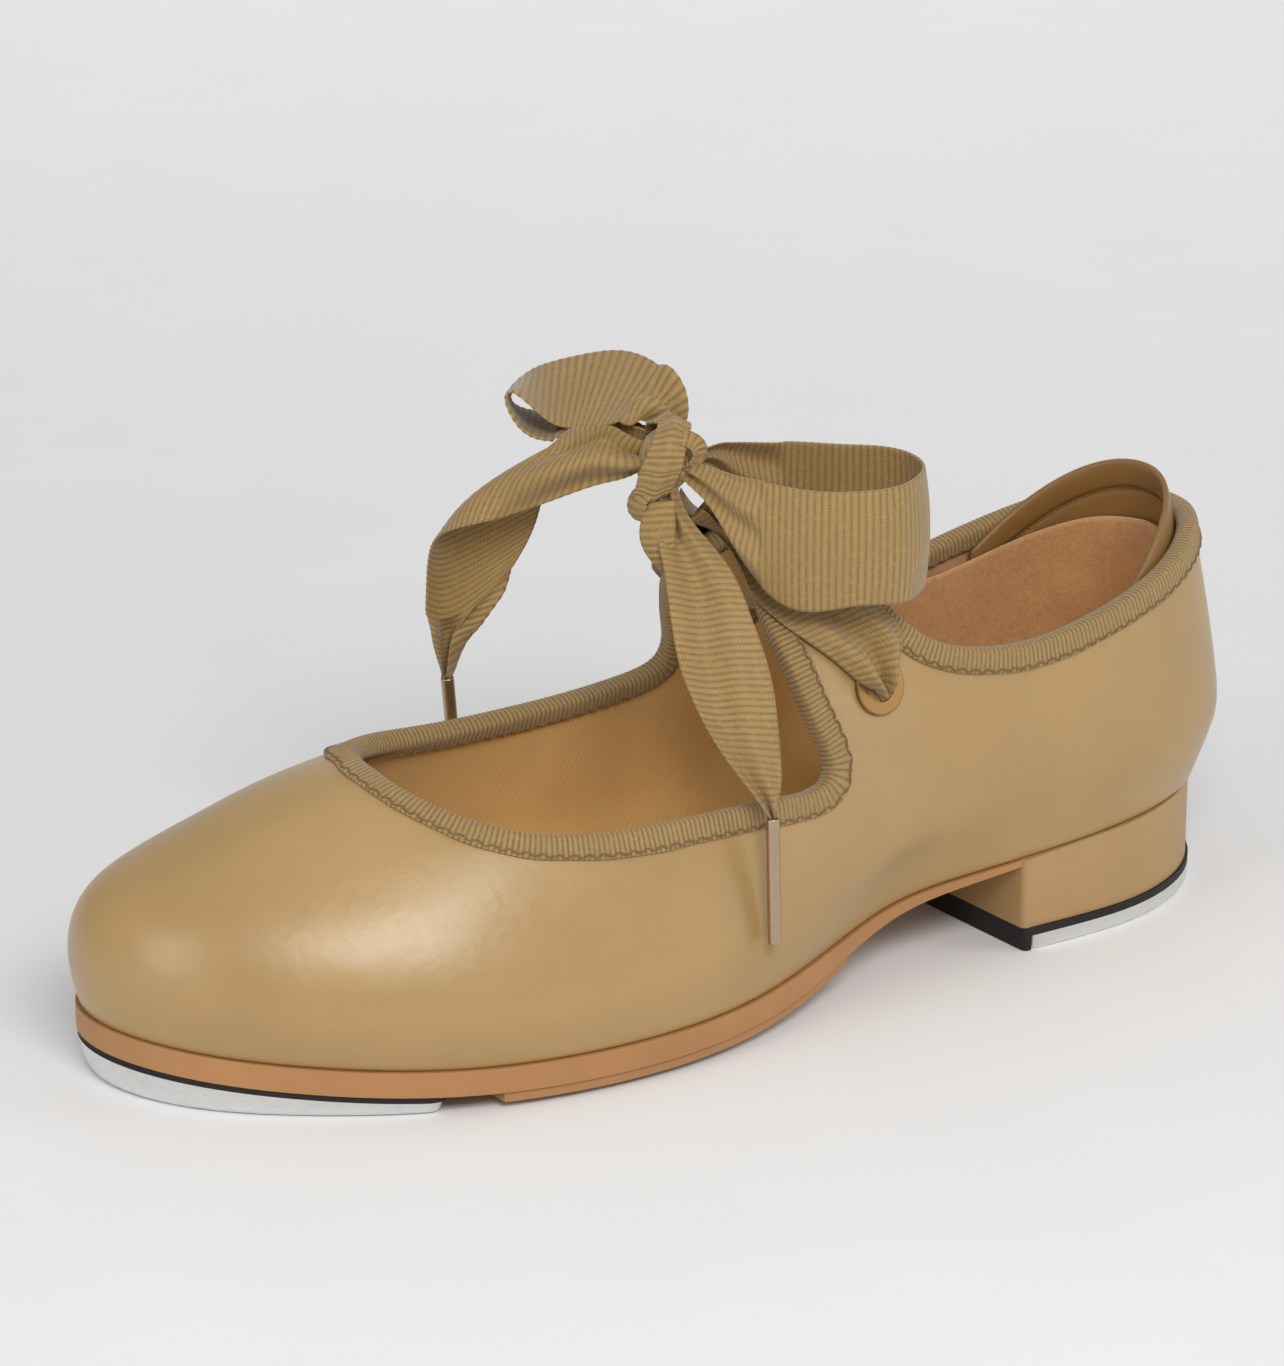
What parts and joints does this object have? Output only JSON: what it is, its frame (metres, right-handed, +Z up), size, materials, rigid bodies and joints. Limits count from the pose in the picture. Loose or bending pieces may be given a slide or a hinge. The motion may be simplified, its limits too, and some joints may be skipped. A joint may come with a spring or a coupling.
{
  "type": "tap shoe",
  "caption": "Low-heeled leather tap shoe for the left foot, with metal toe and heel taps, bound open throat and a ribbon bow over the instep.",
  "frame": {"origin": "centre of the heel tap's wearing face, on the floor under the middle of the heel seat", "axes": "+Z up; +X from the toe towards the heel; the lateral side of this left shoe faces -Y"},
  "size_m": [0.2382, 0.0874, 0.1152],
  "materials": {
    "upper_leather": "smooth coated leather, soft sheen",
    "woven_lining": "fine woven lining",
    "suede_lining": "napped suede",
    "stiffener": "resin-stiffened fibre",
    "grosgrain": "ribbed grosgrain tape",
    "collar_leather": "smooth leather",
    "eyelet_metal": "lacquered, glossy",
    "sole_leather": "burnished edge",
    "pad_rubber": "matte",
    "black_board": "black fibre board",
    "tap_metal": "satin, polished rim",
    "screw_steel": "zinc plated",
    "heel_stack": "painted tan",
    "cork_filler": "granulated cork",
    "shank_steel": "spring steel",
    "fibre_board": "cellulose board",
    "sock": "smooth cream sock lining",
    "ribbon": "ribbed grosgrain ribbon",
    "aglet_metal": "dull brown metal"
  },
  "bodies": {
    "shoe": {"upper": "upper_leather", "vamp_lining": "woven_lining", "heel_lining": "suede_lining", "toe_puff": "stiffener", "heel_counter": "stiffener", "topline_binding": "grosgrain", "heel_collar_tab": "collar_leather", "eyelet_near": "eyelet_metal", "eyelet_washer_near": "eyelet_metal", "eyelet_far": "eyelet_metal", "eyelet_washer_far": "eyelet_metal", "outsole": "sole_leather", "forepart_pad": "pad_rubber", "toe_tap_board": "black_board", "toe_tap": "tap_metal", "toe_tap_screws": "screw_steel", "heel_block": "heel_stack", "heel_tap_board": "black_board", "heel_tap": "tap_metal", "heel_tap_screws": "screw_steel", "bottom_filler": "cork_filler", "shank": "shank_steel", "insole_board": "fibre_board", "sock_lining": "sock", "ribbon_cross": "ribbon", "ribbon_strand_near": "ribbon", "ribbon_strand_far": "ribbon", "ribbon_knot": "ribbon"},
    "near_tail": {"ribbon_tail_near": "ribbon", "aglet_near": "aglet_metal"},
    "far_tail": {"ribbon_tail_far": "ribbon", "aglet_far": "aglet_metal"},
    "near_loop": {"ribbon_loop_near": "ribbon"},
    "far_loop": {"ribbon_loop_far": "ribbon"}
  },
  "joints": [
    {"name": "near_tail_swing", "type": "hinge", "parent": "shoe", "child": "near_tail", "pos_m": [-0.0925, 0.0015, 0.1025], "axis": [-1, 0, 0], "range_deg": [0, 60]},
    {"name": "far_tail_swing", "type": "hinge", "parent": "shoe", "child": "far_tail", "pos_m": [-0.0925, 0.0015, 0.1025], "axis": [0.6678, -0.7376, 0.0997], "range_deg": [0, 45]},
    {"name": "near_loop_lift", "type": "hinge", "parent": "shoe", "child": "near_loop", "pos_m": [-0.0925, 0.0015, 0.1025], "axis": [-0.5879, -0.8089, 0], "range_deg": [0, 25]},
    {"name": "far_loop_lift", "type": "hinge", "parent": "shoe", "child": "far_loop", "pos_m": [-0.0925, 0.0015, 0.1025], "axis": [0.8089, -0.5879, 0], "range_deg": [0, 25]}
  ]
}
